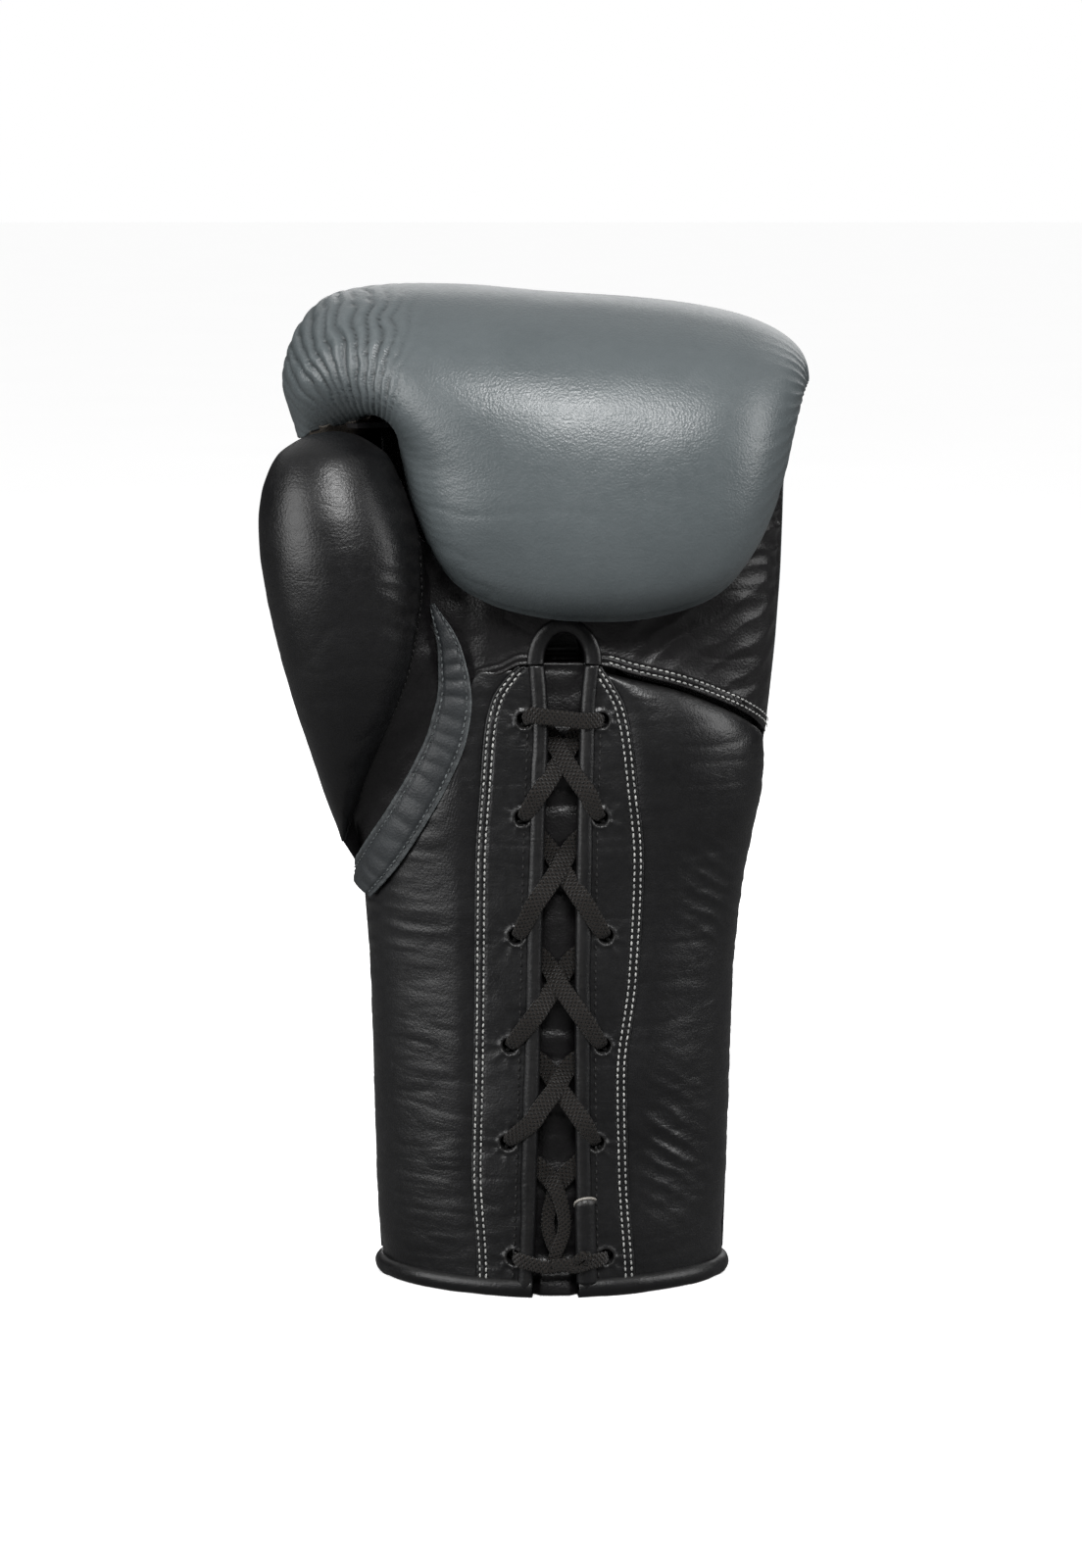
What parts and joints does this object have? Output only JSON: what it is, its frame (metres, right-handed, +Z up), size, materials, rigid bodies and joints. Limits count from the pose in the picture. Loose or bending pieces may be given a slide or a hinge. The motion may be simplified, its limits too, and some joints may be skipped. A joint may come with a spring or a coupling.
{
  "type": "boxing glove",
  "caption": "Lace-up boxing glove standing on its cuff: grey leather fist wrap, black palm, thumb and cuff, laced slit with a tongue, padded and lined inside.",
  "frame": {"origin": "centre of the cuff's hand opening, in the plane of the hem that the glove stands on", "axes": "+Z up from the cuff to the knuckles, the palm and lacing face -Y, the thumb is towards -X"},
  "size_m": [0.1714, 0.1241, 0.3215],
  "materials": {
    "grey_leather": "satin grained grey leather",
    "black_leather": "semi-gloss fine-grained black leather",
    "grey_patch": "satin grey leather, plain",
    "edge_leather": "rolled glossy black leather binding",
    "foam": "closed-cell foam and padding, hidden",
    "lining": "black woven nylon lining",
    "lace_weave": "flat woven cotton lace",
    "tip_plastic": "heat-shrunk lace tips"
  },
  "bodies": {
    "hand_body": {"fist_shell": "grey_leather", "side_panel_right": "black_leather", "side_panel_left": "black_leather", "knuckle_foam": "foam", "inner_foam": "foam", "fist_lining": "lining", "palm_panel": "black_leather", "palm_foam": "foam", "palm_lining": "lining", "grip_bar": "black_leather", "thumb_web": "black_leather", "thumb_gusset": "black_leather", "thumb_crescent": "grey_leather", "thumb_tether": "black_leather", "cuff_back_panel": "black_leather", "wrist_patch": "grey_patch", "wrist_pad_back": "foam", "cuff_lining_back": "lining", "slit_top_binding": "edge_leather", "lace": "lace_weave", "lace_tips": "tip_plastic", "hem_binding_back": "edge_leather"},
    "flap_left": {"cuff_panel_left": "black_leather", "wrist_pad_left": "foam", "cuff_lining_left": "lining", "lace_facing_left": "black_leather", "edge_binding_left": "edge_leather", "hem_binding_left": "edge_leather"},
    "flap_right": {"cuff_panel_right": "black_leather", "wrist_pad_right": "foam", "cuff_lining_right": "lining", "lace_facing_right": "black_leather", "edge_binding_right": "edge_leather", "hem_binding_right": "edge_leather"},
    "thumb": {"thumb_shell": "black_leather", "thumb_foam": "foam", "thumb_lining": "lining"},
    "tongue": {"tongue": "black_leather"}
  },
  "joints": [
    {"name": "thumb_flex", "type": "hinge", "parent": "hand_body", "child": "thumb", "pos_m": [-0.058, -0.03, 0.15], "axis": [0, -1, 0], "range_deg": [0, 7]},
    {"name": "flap_left_open", "type": "hinge", "parent": "hand_body", "child": "flap_left", "pos_m": [-0.0585, -0.0015, 0.06], "axis": [0, 0, -1], "range_deg": [0, 4], "deforming": ["lace", "lace_tips"]},
    {"name": "flap_right_open", "type": "hinge", "parent": "hand_body", "child": "flap_right", "pos_m": [0.0585, -0.0015, 0.06], "axis": [0, 0, 1], "range_deg": [0, 4], "deforming": ["lace", "lace_tips"]},
    {"name": "tongue_flex", "type": "hinge", "parent": "hand_body", "child": "tongue", "pos_m": [0.002, -0.029, 0.204], "axis": [1, 0, 0], "range_deg": [0, 8]}
  ],
  "couplings": [
    {"joint": "flap_right_open", "follows": "flap_left_open", "ratio": 1}
  ]
}
